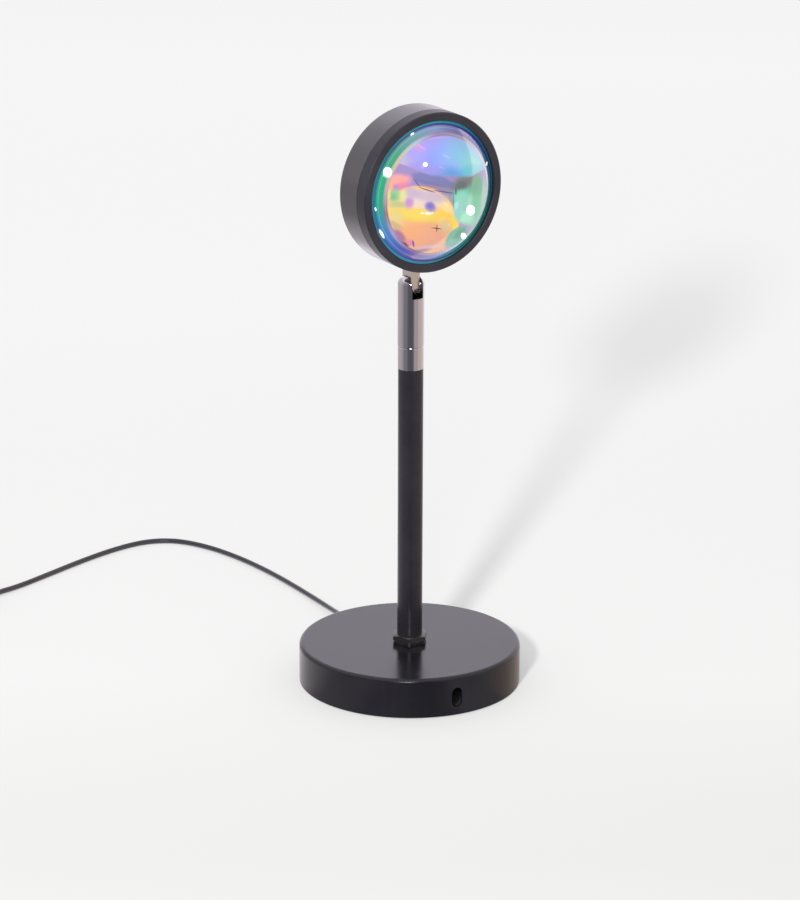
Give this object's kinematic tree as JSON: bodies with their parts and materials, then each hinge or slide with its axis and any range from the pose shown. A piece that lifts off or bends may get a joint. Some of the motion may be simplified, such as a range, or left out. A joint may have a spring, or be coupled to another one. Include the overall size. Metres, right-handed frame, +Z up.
{
  "type": "sunset projection lamp",
  "caption": "Table lamp with a weighted round base, a slim stem, a chrome swivel and tilt joint, and a flat round head with a domed, colour-coated projection lens.",
  "frame": {"origin": "on the floor under the middle of the round base", "axes": "+Z up along the stem; the head's face looks along -Y; the tilt axis runs along X"},
  "size_m": [0.3021, 0.3028, 0.2949],
  "materials": {
    "base_black": "satin black powder coat",
    "weight_iron": "plain cast, unfinished",
    "cover_black": "matt black board",
    "foot_foam": "matt black soft pad",
    "zinc_steel": "bright zinc",
    "nut_bronze": "blackened bronze",
    "stem_black": "satin black",
    "joint_chrome": "polished chrome",
    "slide_nylon": "plain nylon",
    "pin_steel": "ground steel",
    "tongue_nickel": "satin nickel",
    "head_black": "satin black",
    "ring_black": "matt black",
    "lens_glass": "clear polished",
    "filter_glass": "colour-coated, rainbow",
    "gasket_black": "matt",
    "reflector_white": "bright moulded",
    "board_alu": "white-masked aluminium board",
    "emitter_lens": "clear dome over a yellow emitter",
    "pad_grey": "soft grey thermal pad",
    "chip_black": "moulded black",
    "lead_black": "matt insulation",
    "cord_black": "matt black sheath",
    "tie_black": "flat band",
    "plug_black": "moulded black",
    "plug_metal": "bright nickel",
    "insert_white": "white moulded",
    "contact_gold": "gilt"
  },
  "bodies": {
    "base": {"base_shell": "base_black", "base_weight": "weight_iron", "bottom_cover": "cover_black", "foot_pad": "foot_foam", "base_washer": "zinc_steel", "base_nut": "zinc_steel", "base_nipple": "zinc_steel", "top_nipple": "zinc_steel", "stem_nut": "nut_bronze", "stem_tube": "stem_black", "nut_washer": "stem_black", "swivel_ferrule": "joint_chrome", "stem_lead": "lead_black", "strain_relief": "cord_black", "cord_free": "cord_black", "cord_coil": "cord_black", "plug_relief": "cord_black", "coil_tie": "tie_black", "plug_body": "plug_black", "plug_shell": "plug_metal", "plug_insert": "insert_white", "plug_contacts": "contact_gold"},
    "swivel_head": {"swivel_clevis": "joint_chrome", "swivel_clip": "zinc_steel", "swivel_washer": "slide_nylon", "swivel_stop_pin": "pin_steel", "hinge_screw": "pin_steel", "friction_washers": "zinc_steel", "clevis_lead": "lead_black"},
    "lamp_head": {"head_tongue": "tongue_nickel", "head_housing": "head_black", "front_ring": "ring_black", "lens": "lens_glass", "colour_filter": "filter_glass", "lens_gasket": "gasket_black", "reflector": "reflector_white", "led_board": "board_alu", "thermal_pad": "pad_grey", "board_screws": "zinc_steel", "led_emitter": "emitter_lens", "driver_chip": "chip_black", "chip_resistors": "chip_black", "head_lead": "lead_black"}
  },
  "joints": [
    {"name": "swivel", "type": "hinge", "parent": "base", "child": "swivel_head", "pos_m": [0, 0, 0.1743], "axis": [0, 0, 1], "range_deg": [-170, 170]},
    {"name": "tilt", "type": "hinge", "parent": "swivel_head", "child": "lamp_head", "pos_m": [0, 0, 0.2047], "axis": [1, 0, 0], "range_deg": [0, 90]}
  ]
}
